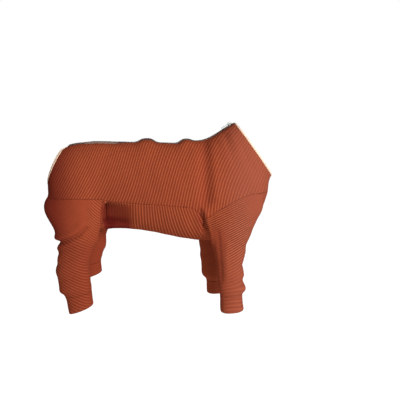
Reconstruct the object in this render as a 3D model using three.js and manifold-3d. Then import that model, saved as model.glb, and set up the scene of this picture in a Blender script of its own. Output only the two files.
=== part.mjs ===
// A jumpsuit for a dog, in the form that it has when worn: two back panels closed by a zip, a belly panel,
// four sleeves with narrower cuffs, and a pale elastic edging round the neck and round the tail opening.
// Millimetres. +X runs towards the neck, +Z is up, and the wearer's right side is at -Y.
// The origin is on the inner face of the back, about midway along it, where the dog's back carries the suit.

import * as THREE from "three";
import { mergeVertices } from "three/addons/utils/BufferGeometryUtils.js";
import Module from "manifold-3d";

const wasm = await Module();
wasm.setup();

// Overall sizes of the worn suit
const BACK_LENGTH = 442; // along the back, from the tail opening to the collar
const BODY_DEPTH = 250; // from the back down to the lowest point of the belly
const CHEST_WIDTH = 172;
const LEG_SPREAD = 176; // across the outer faces of a pair of legs
const HIND_DROP = 413; // from the back down to the hem of the hind cuff
const HIND_REACH = 145; // from the back's middle to the hind leg's middle
const HIND_WIDTH = 145; // of the hind sleeve's root, fore and aft
const FRONT_DROP = 415;
const FRONT_REACH = 245;
const FRONT_WIDTH = 150;
const LEFT_HIND_LIFT = 45; // how much higher the left hind sleeve has ridden up its leg
const LEFT_FRONT_SWAY = 33; // how far behind the right one the left front leg stands
const LEFT_HIND_FULLNESS = 20; // how much more cloth hangs before the left hind leg, above its cuff
const LEFT_FRONT_FULLNESS = 8; // and behind the left front leg

// Cloth, seams and edging
const WALL = 1.8; // two-layer jersey
const SEAM_GAP = 0.3;
const GUSSET_WIDTH = 24; // of the belly panel where it passes between a pair of legs
const CUFF_HEIGHT = 36;
const EDGING_WIDTH = 3;
const EDGING_EXTRA = 0.5; // the edging is this much thicker than the cloth on each face

// Zip
const ZIP_GAP = 14; // between the two back panels
const TAPE_WIDTH = 13; // from the zip's middle to the tape's edge, under the panel
const TAPE_THICKNESS = 0.8;
const CHAIN_WIDTH = 4.8;
const CHAIN_HEIGHT = 2;
const ZIP_CLEARANCE = 0.3;
const SLIDER_LENGTH = 11;
const SLIDER_WIDTH = 8.8;
const SLIDER_PLATE = 1.2;
const SLIDER_FROM_COLLAR = 11; // from the collar's edge to the slider's middle
const BRIDGE_WIDTH = 2.2;
const BRIDGE_LENGTH = 8.4;
const BRIDGE_WALL = 1.1;
const PULL_LENGTH = 24;
const PULL_WIDTH = 6.4;
const PULL_THICKNESS = 1.2;
const PULL_CLEARANCE = 0.4;

// Fineness of the faceted surfaces
const STATION_SPACING = 22;
const LEG_STATION_SPACING = 26;
const BODY_SIDES = 24;
const LEG_SIDES = 14;
const BODY_SQUARENESS = 2.15; // superellipse exponent of a section
const LEG_SQUARENESS = 2.25;

// The body's sections from rump to neck. back and belly are the x of a section's highest and lowest point as
// shares of BACK_LENGTH, rise and drop their heights as shares of BODY_DEPTH, and width is a share of CHEST_WIDTH.
const BODY_SECTIONS = [
  { back: -0.497, rise: -0.29, belly: -0.497, drop: -0.6, width: 0.36 },
  { back: -0.478, rise: -0.175, belly: -0.48, drop: -0.72, width: 0.62 },
  { back: -0.442, rise: -0.07, belly: -0.436, drop: -0.82, width: 0.8 },
  { back: -0.373, rise: -0.012, belly: -0.36, drop: -0.892, width: 0.9 },
  { back: -0.317, rise: 0.002, belly: -0.271, drop: -0.896, width: 0.9 },
  { back: -0.226, rise: 0.007, belly: -0.208, drop: -0.88, width: 0.86 },
  { back: -0.113, rise: 0.007, belly: -0.102, drop: -0.866, width: 0.82 },
  { back: 0, rise: 0.007, belly: 0, drop: -0.872, width: 0.84 },
  { back: 0.038, rise: 0.007, belly: 0.034, drop: -0.881, width: 0.857 },
  { back: 0.086, rise: 0.007, belly: 0.081, drop: -0.897, width: 0.882 },
  { back: 0.13, rise: 0.007, belly: 0.128, drop: -0.915, width: 0.91 },
  { back: 0.226, rise: 0, belly: 0.215, drop: -0.952, width: 0.96 },
  { back: 0.296, rise: 0.008, belly: 0.3, drop: -0.98, width: 0.99 },
  { back: 0.35, rise: 0.024, belly: 0.376, drop: -0.998, width: 1 },
  { back: 0.41, rise: 0.054, belly: 0.48, drop: -0.99, width: 1 },
  { back: 0.468, rise: 0.112, belly: 0.6, drop: -0.925, width: 0.97 },
  { back: 0.516, rise: 0.17, belly: 0.7, drop: -0.76, width: 0.92 },
  { back: 0.553, rise: 0.212, belly: 0.756, drop: -0.54, width: 0.83 },
  { back: 0.577, rise: 0.239, belly: 0.771, drop: -0.36, width: 0.74 },
  { back: 0.615, rise: 0.281, belly: 0.814, drop: -0.232, width: 0.68 },
];

// A leg's sections from its root inside the body to below its hem. down is the depth as a share of the leg's drop;
// rear and front lie either side of the leg's middle and rise is the front's height over the rear, as shares of
// its width; inner and outer are distances from the body's middle as shares of half the leg spread.
const HIND_SECTIONS = [
  { down: 0.254, rear: -0.31, front: 0.36, rise: 0.07, inner: 0.23, outer: 0.66 },
  { down: 0.327, rear: -0.53, front: 0.45, rise: 0.04, inner: 0.17, outer: 0.87 },
  { down: 0.391, rear: -0.545, front: 0.49, rise: 0.05, inner: 0.17, outer: 0.95 },
  { down: 0.455, rear: -0.46, front: 0.448, rise: 0.03, inner: 0.18, outer: 0.98 },
  { down: 0.517, rear: -0.372, front: 0.386, rise: 0.01, inner: 0.2, outer: 0.98 },
  { down: 0.579, rear: -0.336, front: 0.345, rise: -0.01, inner: 0.25, outer: 0.98 },
  { down: 0.639, rear: -0.338, front: 0.269, rise: 0, inner: 0.28, outer: 0.98 },
  { down: 0.705, rear: -0.352, front: 0.207, rise: 0, inner: 0.31, outer: 0.98 },
  { down: 0.765, rear: -0.379, front: 0.186, rise: 0, inner: 0.32, outer: 1 },
  { down: 0.833, rear: -0.359, front: 0.2, rise: 0, inner: 0.32, outer: 1 },
  { down: 0.885, rear: -0.32, front: 0.207, rise: 0.03, inner: 0.32, outer: 0.99 },
  { down: 0.905, rear: -0.255, front: 0.208, rise: 0.07, inner: 0.34, outer: 0.955 },
  { down: 1.05, rear: -0.187, front: 0.235, rise: 0.18, inner: 0.35, outer: 0.955 },
];
const FRONT_SECTIONS = [
  { down: 0.193, rear: -0.367, front: 0.31, rise: 0.27, inner: 0.23, outer: 0.6 },
  { down: 0.325, rear: -0.447, front: 0.49, rise: 0.2, inner: 0.17, outer: 0.84 },
  { down: 0.405, rear: -0.5, front: 0.505, rise: 0.21, inner: 0.17, outer: 0.96 },
  { down: 0.472, rear: -0.473, front: 0.42, rise: 0.16, inner: 0.18, outer: 0.99 },
  { down: 0.548, rear: -0.367, front: 0.3, rise: 0.13, inner: 0.22, outer: 1 },
  { down: 0.631, rear: -0.313, front: 0.227, rise: 0.08, inner: 0.28, outer: 1 },
  { down: 0.718, rear: -0.273, front: 0.187, rise: 0.03, inner: 0.31, outer: 1 },
  { down: 0.812, rear: -0.247, front: 0.187, rise: 0.03, inner: 0.33, outer: 1 },
  { down: 0.882, rear: -0.23, front: 0.21, rise: 0.03, inner: 0.34, outer: 1 },
  { down: 0.905, rear: -0.21, front: 0.172, rise: 0.02, inner: 0.36, outer: 0.97 },
  { down: 1.05, rear: -0.194, front: 0.22, rise: 0.04, inner: 0.36, outer: 0.985 },
];

// Folds and dents. at is where one crosses its own angle, as a share of the back's length for the body and of the
// leg's drop for a leg; slope is how much that share changes in a quarter turn; angle and spread are in degrees
// round the section, from the back over the side to the belly, or from the leg's front over its outer face to its
// rear; height is outwards and length along the piece, both as shares of the cuff's height. power is 2 for a
// round crest and 4 for a flat one.
const BODY_FOLDS = [
  { at: 0.063, slope: 0, angle: 0, spread: 26, height: 0.31, length: 0.56, power: 4 }, // the zip buckles up twice
  { at: 0.294, slope: 0, angle: 0, spread: 26, height: 0.3, length: 0.45, power: 4 },
  { at: 0.41, slope: -0.03, angle: 62, spread: 40, height: -0.11, length: 0.5, power: 2 }, // hollow behind the shoulder
  { at: -0.19, slope: 0, angle: 118, spread: 26, height: -0.28, length: 0.9, power: 2 }, // hollow of the flank
];
const HIND_FOLDS = [
  { at: 0.579, slope: -0.012, angle: 172, spread: 62, height: -0.1, length: 0.3, power: 2 }, // deep crease over the hock
  { at: 0.54, slope: -0.03, angle: 120, spread: 50, height: 0.1, length: 0.5, power: 2 },
  { at: 0.635, slope: 0, angle: 180, spread: 40, height: -0.08, length: 0.22, power: 2 },
  { at: 0.86, slope: 0.01, angle: 180, spread: 55, height: 0.13, length: 0.34, power: 2 }, // bulge over the cuff
];
const FRONT_FOLDS = [
  { at: 0.55, slope: 0.02, angle: 0, spread: 40, height: 0.08, length: 0.4, power: 2 },
  { at: 0.72, slope: 0.03, angle: 5, spread: 45, height: -0.1, length: 0.3, power: 2 },
  { at: 0.79, slope: 0.03, angle: 5, spread: 45, height: 0.08, length: 0.3, power: 2 },
  { at: 0.875, slope: 0.02, angle: 0, spread: 50, height: 0.14, length: 0.3, power: 2 }, // roll over the cuff
];

// The seam under the back panels in side view, from the rump to the chest, as shares of BACK_LENGTH along and
// BODY_DEPTH down. FLANK and ARMPIT are the points where the seams of the hind and front sleeves leave it.
const SEAM_LINE = [
  { along: -0.9, down: 0.52 },
  { along: -0.31, down: 0.52 },
  { along: -0.172, down: 0.532 },
  { along: -0.13, down: 0.56 },
  { along: 0.154, down: 0.58 },
  { along: 0.32, down: 0.6 },
  { along: 0.362, down: 0.65 },
  { along: 0.389, down: 0.73 },
  { along: 0.462, down: 0.64 },
  { along: 0.566, down: 0.532 },
  { along: 0.647, down: 0.476 },
  { along: 1.2, down: 0.46 },
];
const FLANK = 2;
const ARMPIT = 7;
const FLANK_LEAN = -0.03; // how far the flank's seam leans back on its way down, as a share of BACK_LENGTH
const ARMPIT_LEAN = -0.01;

// The cuts of the neck and of the tail opening in side view
const NECK_TOP = { along: 0.56, down: -0.215 };
const NECK_FOOT = { along: 0.774, down: 0.304 };
const TAIL_TOP = { along: -0.4, down: 0.04 };
const TAIL_FOOT = { along: -0.483, down: 0.356 };

const FAR = 1500; // beyond every part of the suit
const UP = new THREE.Vector3(0, 0, 1);
const ACROSS = new THREE.Vector3(0, 1, 0);

// A closed surface is { points, faces, rings }: rings[i] lists the indices of ring i, from the first to the last.
function loft(rings) {
  const points = rings.flat();
  const sides = rings[0].length;
  const faces = [];
  for (let ring = 0; ring + 1 < rings.length; ring++)
    for (let side = 0; side < sides; side++) {
      const a = ring * sides + side;
      const b = ring * sides + ((side + 1) % sides);
      faces.push([a, b, b + sides], [a, b + sides, a + sides]);
    }
  for (const [ring, turned] of [[0, true], [rings.length - 1, false]]) {
    const middle = points.length;
    const sum = rings[ring].reduce((total, p) => total.add(p), new THREE.Vector3());
    points.push(sum.divideScalar(sides));
    for (let side = 0; side < sides; side++) {
      const a = ring * sides + side;
      const b = ring * sides + ((side + 1) % sides);
      faces.push(turned ? [a, middle, b] : [a, b, middle]);
    }
  }
  return facingOut({ points, faces, sides, ringCount: rings.length });
}

function facingOut(surface) {
  const { points, faces } = surface;
  const volume = faces.reduce(
    (total, [a, b, c]) => total + points[a].dot(points[b].clone().cross(points[c])),
    0,
  );
  return volume > 0 ? surface : { ...surface, faces: faces.map(([a, b, c]) => [a, c, b]) };
}

function normalsOf({ points, faces }) {
  const normals = points.map(() => new THREE.Vector3());
  for (const face of faces) {
    const [a, b, c] = face.map((i) => points[i]);
    const normal = b.clone().sub(a).cross(c.clone().sub(a));
    for (const i of face) normals[i].add(normal);
  }
  return normals.map((normal) => normal.normalize());
}

// Moves each point outwards by a distance, or by what a function of the point's index gives.
function grown(surface, distance) {
  const normals = normalsOf(surface);
  const by = typeof distance === "function" ? distance : () => distance;
  return {
    ...surface,
    points: surface.points.map((p, i) => p.clone().addScaledVector(normals[i], by(i))),
  };
}

function solidFrom(geometry) {
  const bare = geometry.clone();
  for (const name of Object.keys(bare.attributes)) if (name !== "position") bare.deleteAttribute(name);
  const merged = mergeVertices(bare, 1e-4);
  const vertProperties = new Float32Array(merged.attributes.position.array);
  const triVerts = new Uint32Array(merged.index.array);
  return new wasm.Manifold(new wasm.Mesh({ numProp: 3, vertProperties, triVerts }));
}

function solidOf({ points, faces }) {
  const geometry = new THREE.BufferGeometry().setFromPoints(points);
  geometry.setIndex(faces.flat());
  return solidFrom(geometry);
}

function geometryOf(solid) {
  const { vertProperties, triVerts } = solid.getMesh();
  const geometry = new THREE.BufferGeometry();
  geometry.setAttribute("position", new THREE.BufferAttribute(vertProperties, 3));
  geometry.setIndex(new THREE.BufferAttribute(triVerts, 1));
  geometry.computeVertexNormals();
  return geometry;
}

function joined(solids) {
  return solids.reduce((all, solid) => all.add(solid));
}

// Everything on the side of a plane that its normal points to.
function halfSpace(point, normal) {
  const box = new THREE.BoxGeometry(2 * FAR, 2 * FAR, FAR).translate(0, 0, FAR / 2);
  box.applyQuaternion(new THREE.Quaternion().setFromUnitVectors(UP, normal.clone().normalize()));
  return solidFrom(box.translate(point.x, point.y, point.z));
}

// An outline in side view, of [x, z] points, drawn out between two places across.
function prism(outline, from, to) {
  const shape = new THREE.Shape(outline.map(([x, z]) => new THREE.Vector2(x, z)));
  const geometry = new THREE.ExtrudeGeometry(shape, { depth: to - from, bevelEnabled: false });
  return solidFrom(geometry.rotateX(Math.PI / 2).translate(0, to, 0));
}

function smoothStep(share) {
  const t = THREE.MathUtils.clamp(share, 0, 1);
  return t * t * (3 - 2 * t);
}

// Rows between the rows of a table, about one spacing apart, along a smooth curve through each column.
function refined(rows, lengthBetween, spacing) {
  const at = (i) => rows[THREE.MathUtils.clamp(i, 0, rows.length - 1)];
  const made = [];
  for (let row = 0; row + 1 < rows.length; row++) {
    const steps = Math.max(1, Math.round(lengthBetween(rows[row], rows[row + 1]) / spacing));
    for (let step = 0; step < steps; step++) {
      const t = step / steps;
      const between = {};
      for (const key of Object.keys(rows[row])) {
        const [p, q, r, s] = [row - 1, row, row + 1, row + 2].map((i) => at(i)[key]);
        const bend = 2 * p - 5 * q + 4 * r - s + t * (3 * (q - r) + s - p);
        between[key] = q + 0.5 * t * (r - p + t * bend);
      }
      made.push(between);
    }
  }
  return [...made, rows[rows.length - 1]];
}

function superellipse(angle, squareness) {
  const power = (value) => Math.sign(value) * Math.abs(value) ** (2 / squareness);
  return [power(Math.cos(angle)), power(Math.sin(angle))];
}

// The height of a piece's folds at a share of its length and an angle round its section.
function foldHeight(folds, share, degrees, lengthUnit) {
  return folds.reduce((height, fold) => {
    const turn = THREE.MathUtils.euclideanModulo(degrees - fold.angle + 180, 360) - 180;
    const off = ((share - fold.at - (fold.slope * turn) / 90) * lengthUnit) / (fold.length * CUFF_HEIGHT);
    const across = (turn / fold.spread) ** 2;
    return height + fold.height * CUFF_HEIGHT * Math.exp(-(Math.abs(off) ** fold.power) - across);
  }, 0);
}

function bodyPoint(row, side) {
  const top = new THREE.Vector3(row.back * BACK_LENGTH, 0, row.rise * BODY_DEPTH);
  const bottom = new THREE.Vector3(row.belly * BACK_LENGTH, 0, row.drop * BODY_DEPTH);
  const [up, across] = superellipse((2 * Math.PI * side) / BODY_SIDES, BODY_SQUARENESS);
  return top
    .clone()
    .add(bottom)
    .multiplyScalar(0.5)
    .addScaledVector(top.clone().sub(bottom), up / 2)
    .addScaledVector(ACROSS, (-across * row.width * CHEST_WIDTH) / 2);
}

function bodySurface() {
  const gap = (a, b) =>
    Math.hypot(
      ((b.back + b.belly - a.back - a.belly) / 2) * BACK_LENGTH,
      ((b.rise + b.drop - a.rise - a.drop) / 2) * BODY_DEPTH,
    );
  const rows = refined(BODY_SECTIONS, gap, STATION_SPACING);
  const sides = [...Array(BODY_SIDES).keys()];
  const plain = loft(rows.map((row) => sides.map((side) => bodyPoint(row, side))));
  return grown(plain, (i) => {
    const ring = Math.floor(i / BODY_SIDES);
    if (ring >= rows.length) return 0;
    const degrees = ((i % BODY_SIDES) * 360) / BODY_SIDES;
    const folded = Math.min(degrees, 360 - degrees);
    return foldHeight(BODY_FOLDS, rows[ring].back, folded, BACK_LENGTH);
  });
}

// side is -1 for a right leg and 1 for a left one. lift and sway move the foot end up and forwards. full is the
// fullness of the cloth above the cuff, before a hind leg and behind a front one, and it settles on the cuff over a
// share of the leg's drop.
const LEGS = [
  { name: "hind_right", hind: true, side: -1, lift: 0, sway: 0, full: 0, settling: 1 },
  { name: "hind_left", hind: true, side: 1, lift: LEFT_HIND_LIFT, sway: 0, full: LEFT_HIND_FULLNESS, settling: 0.16 },
  { name: "front_right", hind: false, side: -1, lift: 0, sway: 0, full: 0, settling: 1 },
  { name: "front_left", hind: false, side: 1, lift: 0, sway: -LEFT_FRONT_SWAY, full: LEFT_FRONT_FULLNESS, settling: 0.04 },
];

function legSizes(leg) {
  return leg.hind
    ? { middle: -HIND_REACH, drop: HIND_DROP, width: HIND_WIDTH, sections: HIND_SECTIONS, folds: HIND_FOLDS }
    : { middle: FRONT_REACH, drop: FRONT_DROP, width: FRONT_WIDTH, sections: FRONT_SECTIONS, folds: FRONT_FOLDS };
}

const MOVING_FROM = 0.3; // the shares of the drop between which a leg's lift and sway come in
const MOVING_TO = 0.68;
const FULL_FROM = 0.42; // and those between which its fullness does
const FULL_TO = 0.6;

// The middle, the fore-and-aft half and the half across of a leg's section.
function legSection(leg, row) {
  const { middle, drop, width } = legSizes(leg);
  const moved = smoothStep((row.down - MOVING_FROM) / (MOVING_TO - MOVING_FROM));
  const settled = smoothStep((1 - CUFF_HEIGHT / drop - row.down) / leg.settling);
  const full = leg.full * smoothStep((row.down - FULL_FROM) / (FULL_TO - FULL_FROM)) * settled;
  const rear = row.rear * width - (leg.hind ? 0 : full);
  const front = row.front * width + (leg.hind ? full : 0);
  const x = middle + leg.sway * moved;
  const z = leg.lift * moved - row.down * drop;
  const halfSpread = (leg.side * LEG_SPREAD) / 2;
  return {
    centre: new THREE.Vector3(
      x + (rear + front) / 2,
      ((row.inner + row.outer) / 2) * halfSpread,
      z,
    ),
    forward: new THREE.Vector3((front - rear) / 2, 0, (row.rise / 2) * width),
    outward: new THREE.Vector3(0, ((row.outer - row.inner) / 2) * halfSpread, 0),
  };
}

function legSurface(leg) {
  const { drop, sections, folds } = legSizes(leg);
  const rows = refined(sections, (a, b) => (b.down - a.down) * drop, LEG_STATION_SPACING);
  const sides = [...Array(LEG_SIDES).keys()];
  const rings = rows.map((row) => {
    const { centre, forward, outward } = legSection(leg, row);
    return sides.map((side) => {
      const [fore, out] = superellipse((2 * Math.PI * side) / LEG_SIDES, LEG_SQUARENESS);
      return centre.clone().addScaledVector(forward, fore).addScaledVector(outward, out);
    });
  });
  return grown(loft(rings), (i) => {
    const ring = Math.floor(i / LEG_SIDES);
    if (ring >= rows.length) return 0;
    return foldHeight(folds, rows[ring].down, ((i % LEG_SIDES) * 360) / LEG_SIDES, drop);
  });
}

function sidePoint({ along, down }) {
  return new THREE.Vector3(along * BACK_LENGTH, 0, -down * BODY_DEPTH);
}

const body = bodySurface();
const bodyOuter = solidOf(body);
const bodyInner = solidOf(grown(body, -WALL));
const legSurfaces = LEGS.map(legSurface);
const legOuters = legSurfaces.map(solidOf);
const legInners = legSurfaces.map((surface) => solidOf(grown(surface, -WALL)));
const cloth = joined([bodyOuter, ...legOuters]).subtract(joined([bodyInner, ...legInners]));

// The neck's plane, and the plane of the tail opening. Each normal points out of the suit.
const neckTop = sidePoint(NECK_TOP);
const neckNormal = ACROSS.clone().cross(neckTop.clone().sub(sidePoint(NECK_FOOT))).normalize();
const tailTop = sidePoint(TAIL_TOP);
const tailNormal = ACROSS.clone().cross(sidePoint(TAIL_FOOT).sub(tailTop)).normalize();

const trimmed = cloth
  .subtract(halfSpace(neckTop, neckNormal))
  .subtract(halfSpace(tailTop, tailNormal));

// The seam under the back panels, moved to its upper side by an offset.
function seamOutline(offset) {
  const line = SEAM_LINE.map(sidePoint);
  return line.map((point, i) => {
    const before = line[Math.max(i - 1, 0)];
    const after = line[Math.min(i + 1, line.length - 1)];
    const moved = after.clone().sub(before).cross(ACROSS).setLength(offset).add(point);
    return [moved.x, moved.z];
  });
}

const HALF_GAP = SEAM_GAP / 2;
const lowerHalf = (offset) => prism([...seamOutline(offset), [FAR, -FAR], [-FAR, -FAR]], -FAR, FAR);
const upper = trimmed.subtract(lowerHalf(HALF_GAP));
const lower = trimmed.intersect(lowerHalf(-HALF_GAP));

// What a leg's sleeve takes of the lower cloth, widened by half a seam gap or narrowed by it.
function sleeveRegion(leg, widened) {
  const corner = sidePoint(SEAM_LINE[leg.hind ? FLANK : ARMPIT]);
  const end = leg.hind ? -1 : 1;
  const edge = corner.x - end * widened;
  const foot = edge + (leg.hind ? FLANK_LEAN : ARMPIT_LEAN) * BACK_LENGTH + leg.sway - end * leg.full;
  const outline = [
    [edge, FAR],
    [edge, corner.z],
    [foot, -BODY_DEPTH],
    [foot, -FAR],
    [end * FAR, -FAR],
    [end * FAR, FAR],
  ];
  const inner = GUSSET_WIDTH / 2 - widened;
  return leg.side < 0 ? prism(outline, -FAR, -inner) : prism(outline, inner, FAR);
}

// A plane across a leg at a share of its drop; its normal points to the foot.
function legPlane(leg, down) {
  const { sections } = legSizes(leg);
  const below = sections.findIndex((row) => row.down >= down);
  const [a, b] = [sections[below - 1], sections[below]];
  const t = (down - a.down) / (b.down - a.down);
  const row = Object.fromEntries(Object.keys(a).map((key) => [key, a[key] + t * (b[key] - a[key])]));
  const { centre, forward } = legSection(leg, row);
  return { centre, normal: forward.clone().cross(ACROSS).normalize().negate() };
}

const bellyPanel = LEGS.reduce((panel, leg) => panel.subtract(sleeveRegion(leg, HALF_GAP)), lower);

function sleeveAndCuff(leg) {
  const whole = lower.intersect(sleeveRegion(leg, -HALF_GAP));
  const hem = legPlane(leg, 1);
  const cuffTop = legPlane(leg, 1 - CUFF_HEIGHT / legSizes(leg).drop);
  const at = (plane, offset) =>
    halfSpace(plane.centre.clone().addScaledVector(plane.normal, offset), plane.normal);
  return {
    sleeve: whole.subtract(at(cuffTop, -HALF_GAP)),
    cuff: whole.intersect(at(cuffTop, HALF_GAP)).subtract(at(hem, 0)),
  };
}

// The zip runs along the top of the body between the two back panels.
const backPanels = [-1, 1].map((side) => {
  const half = halfSpace(new THREE.Vector3(0, side * HALF_GAP, 0), ACROSS.clone().multiplyScalar(side));
  return upper.intersect(half).subtract(zipSlot(ZIP_GAP / 2));
});

// The room above the body's upper third between two planes either side of the zip's middle.
function zipSlot(half) {
  const floor = sidePoint({ along: 0, down: 0.12 }).z;
  const front = neckTop.x + CUFF_HEIGHT;
  const rear = tailTop.x - CUFF_HEIGHT;
  return prism([[rear, floor], [front, floor], [front, FAR], [rear, FAR]], -half, half);
}

function tape(side) {
  const depth = WALL + SEAM_GAP;
  const layer = solidOf(grown(body, -depth)).subtract(solidOf(grown(body, -depth - TAPE_THICKNESS)));
  const [from, to] = [HALF_GAP, TAPE_WIDTH];
  const strip = side < 0 ? zipStrip(-to, -from) : zipStrip(from, to);
  return layer
    .intersect(strip)
    .subtract(halfSpace(neckTop, neckNormal))
    .subtract(halfSpace(tailTop, tailNormal));
}

function zipStrip(from, to) {
  const floor = sidePoint({ along: 0, down: 0.12 }).z;
  return prism([[-FAR, floor], [FAR, floor], [FAR, FAR], [-FAR, FAR]], from, to);
}

// The line along the middle of the tapes' upper face, which carries the chain.
function chainLine() {
  const face = grown(body, -WALL - SEAM_GAP);
  const normals = normalsOf(face);
  return [...Array(body.ringCount).keys()].map((ring) => ({
    point: face.points[ring * BODY_SIDES].clone().setY(0),
    normal: normals[ring * BODY_SIDES].clone().setY(0).normalize(),
  }));
}

function zipChain() {
  const rings = chainLine().map(({ point, normal }) =>
    [[-1, 0], [1, 0], [0.7, 1], [-0.7, 1]].map(([across, up]) =>
      point
        .clone()
        .addScaledVector(ACROSS, (across * CHAIN_WIDTH) / 2)
        .addScaledVector(normal, ZIP_CLEARANCE + up * CHAIN_HEIGHT),
    ),
  );
  return solidOf(loft(rings))
    .subtract(halfSpace(neckTop, neckNormal))
    .subtract(halfSpace(tailTop, tailNormal));
}

// The edging carries on the cloth's wall beyond a plane by the edging's width.
function edging(point, normal) {
  const band = solidOf(grown(body, EDGING_EXTRA)).subtract(solidOf(grown(body, -WALL - EDGING_EXTRA)));
  const from = halfSpace(point.clone().addScaledVector(normal, SEAM_GAP), normal);
  const beyond = halfSpace(point.clone().addScaledVector(normal, SEAM_GAP + EDGING_WIDTH), normal);
  return band.intersect(from).subtract(beyond);
}

// The slider's own frame: x along the zip towards the collar, z out of the cloth, its origin on the chain's top.
function sliderFrame() {
  const line = chainLine();
  const fromCollar = (at) => neckTop.distanceTo(at.point) - SLIDER_FROM_COLLAR;
  const after = line.findIndex((at, i) => i > line.length / 2 && fromCollar(at) < 0);
  const [a, b] = [line[after - 1], line[after]];
  const t = fromCollar(a) / (fromCollar(a) - fromCollar(b));
  const along = b.point.clone().sub(a.point).setY(0).normalize();
  const out = along.clone().cross(ACROSS);
  const origin = a.point
    .clone()
    .lerp(b.point, t)
    .addScaledVector(out, ZIP_CLEARANCE + CHAIN_HEIGHT);
  return new THREE.Matrix4().makeBasis(along, ACROSS, out).setPosition(origin);
}

const BRIDGE_ROOM = PULL_THICKNESS * Math.SQRT2 + 2 * PULL_CLEARANCE; // under the bridge, for the pull's bar
const PULL_AXIS_HEIGHT = ZIP_CLEARANCE + SLIDER_PLATE + BRIDGE_ROOM / 2;

function roundedOutline(length, width, radius) {
  const [x, y] = [length / 2, width / 2];
  return new THREE.Shape()
    .moveTo(-x + radius, -y)
    .lineTo(x - radius, -y)
    .quadraticCurveTo(x, -y, x, -y + radius)
    .lineTo(x, y - radius)
    .quadraticCurveTo(x, y, x - radius, y)
    .lineTo(-x + radius, y)
    .quadraticCurveTo(-x, y, -x, y - radius)
    .lineTo(-x, -y + radius)
    .quadraticCurveTo(-x, -y, -x + radius, -y);
}

function plate(shape, thickness) {
  return new THREE.ExtrudeGeometry(shape, { depth: thickness, bevelEnabled: false, curveSegments: 4 });
}

function zipSlider() {
  const outline = roundedOutline(SLIDER_LENGTH, SLIDER_WIDTH, SLIDER_WIDTH * 0.27);
  const top = solidFrom(plate(outline, SLIDER_PLATE).translate(0, 0, ZIP_CLEARANCE));
  const flangeInside = CHAIN_WIDTH / 2 + ZIP_CLEARANCE;
  const flangeWidth = SLIDER_WIDTH / 2 - flangeInside;
  const flangeDepth = CHAIN_HEIGHT * 0.7;
  const flanges = [-1, 1].map((side) =>
    solidFrom(
      new THREE.BoxGeometry(SLIDER_LENGTH * 0.7, flangeWidth, flangeDepth + SLIDER_PLATE).translate(
        0,
        side * (flangeInside + flangeWidth / 2),
        ZIP_CLEARANCE + (SLIDER_PLATE - flangeDepth) / 2,
      ),
    ),
  );
  const foot = ZIP_CLEARANCE + SLIDER_PLATE / 2;
  const underBridge = ZIP_CLEARANCE + SLIDER_PLATE + BRIDGE_ROOM;
  const [outer, inner] = [BRIDGE_LENGTH / 2, BRIDGE_LENGTH / 2 - BRIDGE_WALL];
  const arch = [
    [-outer, foot],
    [-inner, foot],
    [-inner, underBridge],
    [inner, underBridge],
    [inner, foot],
    [outer, foot],
    [outer, underBridge],
    [inner, underBridge + BRIDGE_WALL],
    [-inner, underBridge + BRIDGE_WALL],
    [-outer, underBridge],
  ];
  return joined([top, ...flanges, prism(arch, -BRIDGE_WIDTH / 2, BRIDGE_WIDTH / 2)]);
}

// The pull hangs on its own end bar, which lies under the bridge, and points away from the collar.
function zipPull() {
  const bar = PULL_THICKNESS;
  const bridgeCorner = Math.hypot(BRIDGE_LENGTH / 2, BRIDGE_ROOM / 2 + BRIDGE_WALL);
  const window = { from: bar / 2, to: bridgeCorner + PULL_CLEARANCE, half: BRIDGE_WIDTH / 2 + PULL_CLEARANCE };
  const shape = roundedOutline(PULL_LENGTH, PULL_WIDTH, PULL_WIDTH / 3);
  const middle = PULL_LENGTH / 2 - bar / 2;
  const hole = new THREE.Path()
    .moveTo(middle - window.from, -window.half)
    .lineTo(middle - window.from, window.half)
    .lineTo(middle - window.to, window.half)
    .lineTo(middle - window.to, -window.half)
    .lineTo(middle - window.from, -window.half);
  shape.holes.push(hole);
  return plate(shape, PULL_THICKNESS).translate(-middle, 0, -PULL_THICKNESS / 2);
}

const suit = new THREE.Group();
const jersey = new THREE.MeshStandardMaterial({ color: 0xa2502f, roughness: 0.9, metalness: 0 });
const cream = new THREE.MeshStandardMaterial({ color: 0xead9bd, roughness: 0.8, metalness: 0 });
const tapeGrey = new THREE.MeshStandardMaterial({ color: 0x4c423d, roughness: 0.85, metalness: 0 });
const chainGrey = new THREE.MeshStandardMaterial({ color: 0x3a3431, roughness: 0.5, metalness: 0 });
const metal = new THREE.MeshStandardMaterial({ color: 0xc9c9c4, roughness: 0.3, metalness: 1 });

function add(name, geometry, material) {
  const mesh = new THREE.Mesh(geometry, material);
  mesh.name = name;
  suit.add(mesh);
  return mesh;
}

["right", "left"].forEach((name, i) => add("back_panel_" + name, geometryOf(backPanels[i]), jersey));
add("belly_panel", geometryOf(bellyPanel), jersey);
for (const leg of LEGS) {
  const { sleeve, cuff } = sleeveAndCuff(leg);
  add(leg.name + "_sleeve", geometryOf(sleeve), jersey);
  add(leg.name + "_cuff", geometryOf(cuff), jersey);
}
add("neck_edging", geometryOf(edging(neckTop, neckNormal).subtract(zipSlot(ZIP_GAP / 2))), cream);
add("tail_edging", geometryOf(edging(tailTop, tailNormal)), cream);
[["right", -1], ["left", 1]].forEach(([name, side]) => add("zip_tape_" + name, geometryOf(tape(side)), tapeGrey));
add("zip_chain", geometryOf(zipChain()), chainGrey);

const onZip = sliderFrame();
const slider = add("zip_slider", geometryOf(zipSlider()), metal);
slider.applyMatrix4(onZip);
const pull = add("zip_pull", zipPull(), metal);
const atBar = new THREE.Matrix4().makeTranslation(0, 0, PULL_AXIS_HEIGHT);
pull.applyMatrix4(onZip.clone().multiply(atBar));

export default suit;
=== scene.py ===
"""Looks of the dog's jumpsuit: striped jersey panels, cuffs, pale edgings and the zip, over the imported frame."""

import math

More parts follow.
